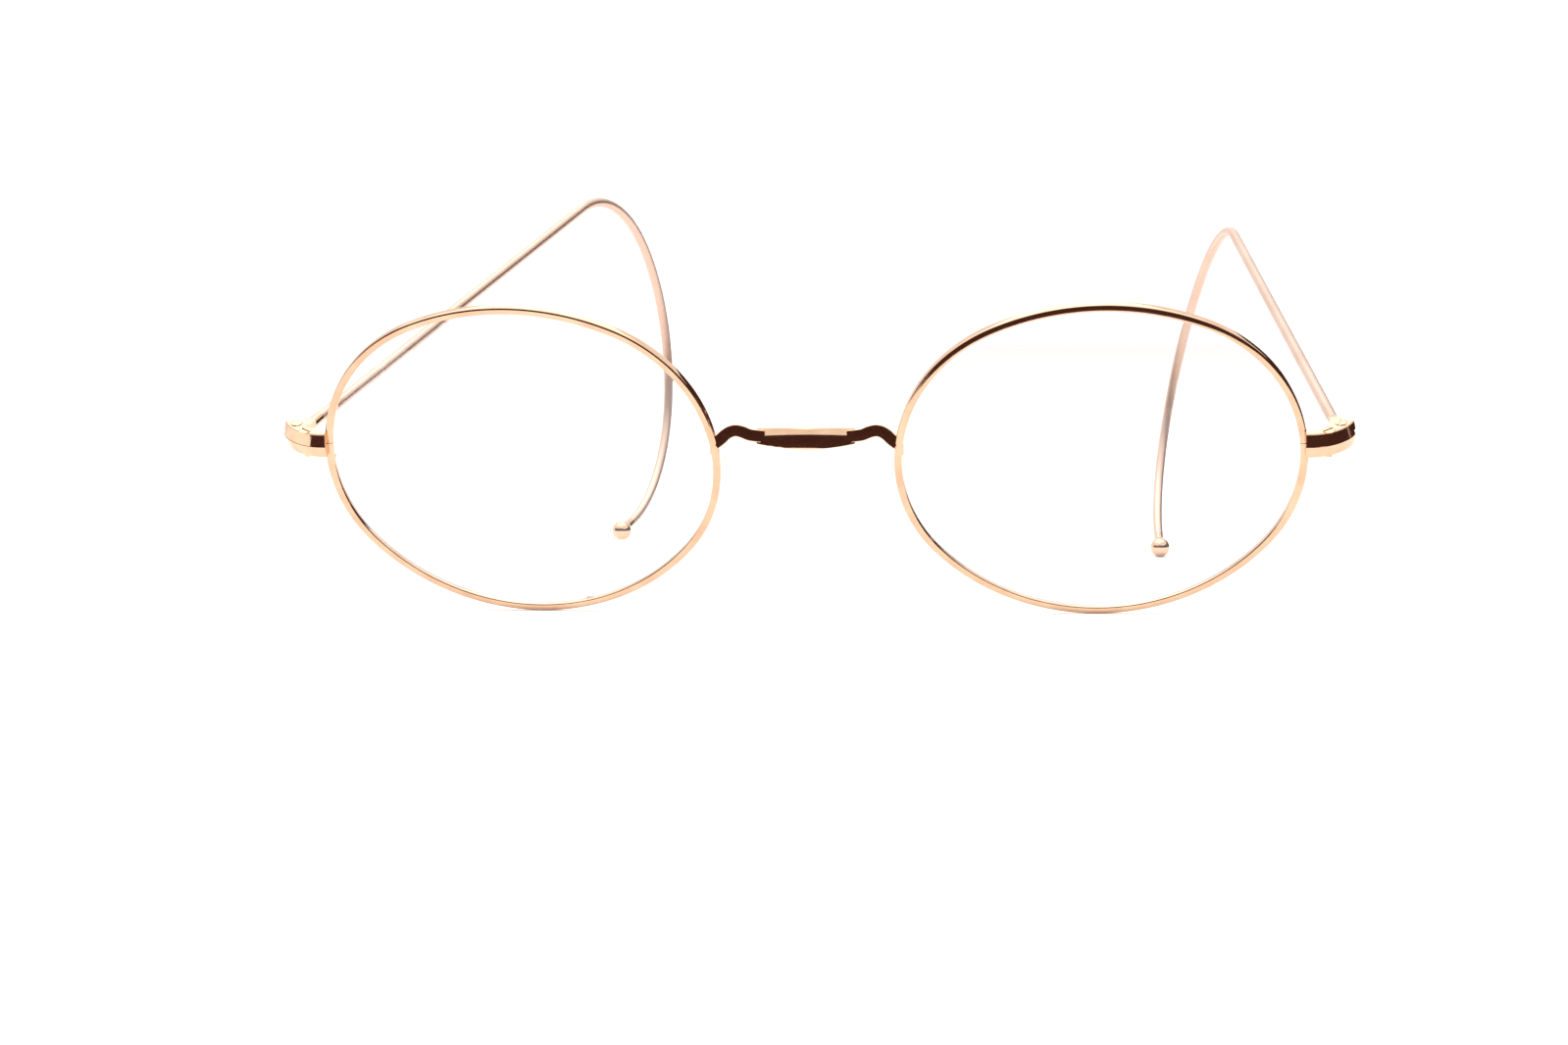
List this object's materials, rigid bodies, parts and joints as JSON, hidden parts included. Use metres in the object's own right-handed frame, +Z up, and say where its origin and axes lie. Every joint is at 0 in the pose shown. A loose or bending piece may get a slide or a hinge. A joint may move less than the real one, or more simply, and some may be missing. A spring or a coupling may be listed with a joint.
{
  "type": "wire eyeglasses",
  "caption": "Oval full-rim wire eyeglasses with a saddle bridge, split endpieces, folding temples and wire curls that end in balls.",
  "frame": {"origin": "middle of the box on the surface that the glasses stand on, resting on both rims and a temple tip", "axes": "+X to the right as seen from the front, +Y from the lenses towards the ear curls, +Z up from the surface"},
  "size_m": [0.1274, 0.1295, 0.0528],
  "materials": {
    "gold_polished": "polished warm rose-gold plating",
    "gold_satin": "satin pinkish gold plating",
    "screw_metal": "turned and polished, gold plated",
    "lens_clear": "clear, anti-reflection coated"
  },
  "bodies": {
    "front": {"rim_left": "gold_polished", "rim_right": "gold_polished", "lens_left": "lens_clear", "lens_right": "lens_clear", "bridge": "gold_polished", "endpiece_upper_left": "gold_polished", "endpiece_lower_left": "gold_polished", "endpiece_upper_right": "gold_polished", "endpiece_lower_right": "gold_polished", "rim_screw_left": "screw_metal", "rim_screw_right": "screw_metal", "hinge_screw_left": "screw_metal", "hinge_screw_right": "screw_metal"},
    "left_temple": {"temple_joint_left": "gold_polished", "temple_wire_left": "gold_satin", "tip_left": "gold_polished"},
    "right_temple": {"temple_joint_right": "gold_polished", "temple_wire_right": "gold_satin", "tip_right": "gold_polished"}
  },
  "joints": [
    {"name": "left_hinge", "type": "hinge", "parent": "front", "child": "left_temple", "pos_m": [-0.0619, -0.05348, 0.02168], "axis": [0, 0.4352, -0.9003], "range_deg": [-17.2, 65.8]},
    {"name": "right_hinge", "type": "hinge", "parent": "front", "child": "right_temple", "pos_m": [0.0619, -0.05348, 0.02168], "axis": [0, -0.4352, 0.9003], "range_deg": [-10.5, 75]}
  ]
}
